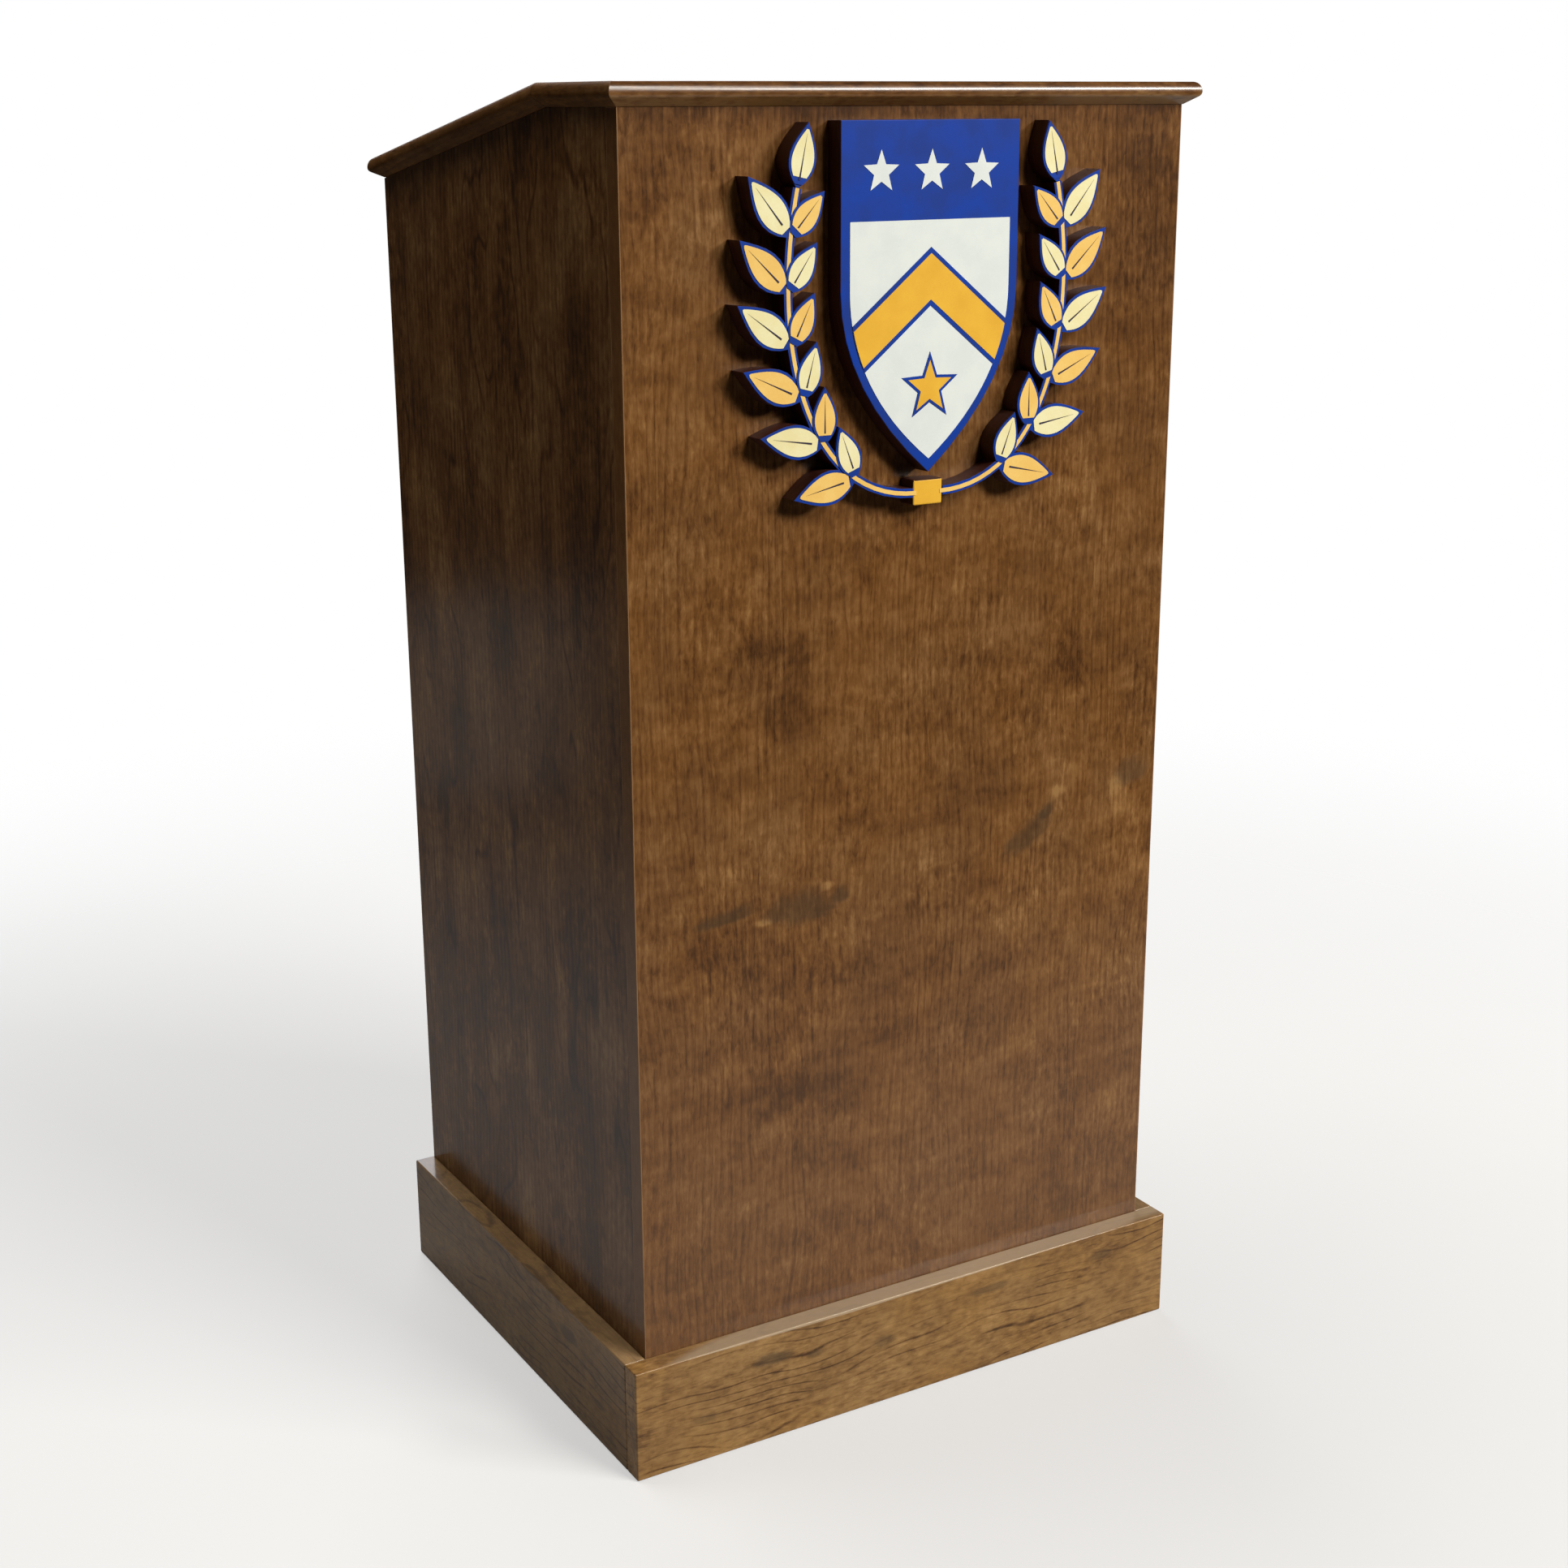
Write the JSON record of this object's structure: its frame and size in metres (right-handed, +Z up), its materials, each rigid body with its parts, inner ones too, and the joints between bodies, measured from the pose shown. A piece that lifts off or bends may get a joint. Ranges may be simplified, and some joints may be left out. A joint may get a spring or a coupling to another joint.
{
  "type": "presentation lectern",
  "caption": "Floor-standing veneered lectern with a plinth, an emblem on the front panel, a level board and a sloped reading desk, open toward the speaker with shelves.",
  "frame": {"origin": "on the floor under the middle of the lectern's overall box", "axes": "+Z up, +Y from the audience toward the speaker, +X to the right as the audience sees it"},
  "size_m": [0.602, 0.522, 1.206],
  "materials": {
    "panel_veneer": "stained veneer, vertical grain, satin clear coat",
    "top_timber": "stained timber, grain across the lectern, satin clear coat",
    "plinth_timber": "stained timber, horizontal figured grain, satin clear coat",
    "edge_timber": "edge band and lipping, satin clear coat",
    "carcass_veneer": "stained veneer, satin clear coat",
    "batten_softwood": "planed softwood, bare",
    "dowel_beech": "fluted beech, bare",
    "emblem_board": "painted board, blue face with dark red-brown sides, semi-gloss",
    "emblem_tie": "painted board, amber face, semi-gloss",
    "screw_brass": "plain brass"
  },
  "bodies": {
    "lectern": {"batten_screw_left_1": "screw_brass", "batten_screw_left_2": "screw_brass", "batten_screw_right_1": "screw_brass", "batten_screw_right_2": "screw_brass", "book_stop": "top_timber", "bottom_cleat_left": "batten_softwood", "bottom_cleat_right": "batten_softwood", "bottom_lipping": "edge_timber", "bottom_panel": "carcass_veneer", "desk_cleat_left": "batten_softwood", "desk_cleat_right": "batten_softwood", "desk_cleat_screw_left_1": "screw_brass", "desk_cleat_screw_left_2": "screw_brass", "desk_cleat_screw_right_1": "screw_brass", "desk_cleat_screw_right_2": "screw_brass", "desk_nosing_left": "top_timber", "desk_nosing_rear": "top_timber", "desk_nosing_right": "top_timber", "emblem_screw_1": "screw_brass", "emblem_screw_2": "screw_brass", "emblem_screw_3": "screw_brass", "emblem_screw_4": "screw_brass", "emblem_shield": "emblem_board", "fixed_shelf": "carcass_veneer", "fixed_shelf_lipping": "edge_timber", "front_dowel_left_1": "dowel_beech", "front_dowel_left_2": "dowel_beech", "front_dowel_left_3": "dowel_beech", "front_dowel_right_1": "dowel_beech", "front_dowel_right_2": "dowel_beech", "front_dowel_right_3": "dowel_beech", "front_edge_band_left": "edge_timber", "front_edge_band_right": "edge_timber", "front_panel": "panel_veneer", "kick_board": "carcass_veneer", "laurel_left": "emblem_board", "laurel_right": "emblem_board", "laurel_tie": "emblem_tie", "level_cleat": "batten_softwood", "level_cleat_screw_1": "screw_brass", "level_cleat_screw_2": "screw_brass", "level_nosing_front": "top_timber", "level_nosing_left": "top_timber", "level_nosing_right": "top_timber", "level_top": "top_timber", "plinth_front": "plinth_timber", "plinth_left": "plinth_timber", "plinth_right": "plinth_timber", "reading_desk": "top_timber", "rear_edge_band_left": "edge_timber", "rear_edge_band_right": "edge_timber", "shelf_batten_left": "batten_softwood", "shelf_batten_right": "batten_softwood", "side_panel_left": "panel_veneer", "side_panel_right": "panel_veneer", "top_rail": "carcass_veneer"},
    "loose_shelf": {"loose_shelf": "carcass_veneer", "loose_shelf_lipping": "edge_timber"}
  },
  "joints": [
    {"name": "loose_shelf_slide", "type": "slide", "parent": "lectern", "child": "loose_shelf", "axis": [0, 1, 0], "range_m": [0, 0.2]}
  ]
}
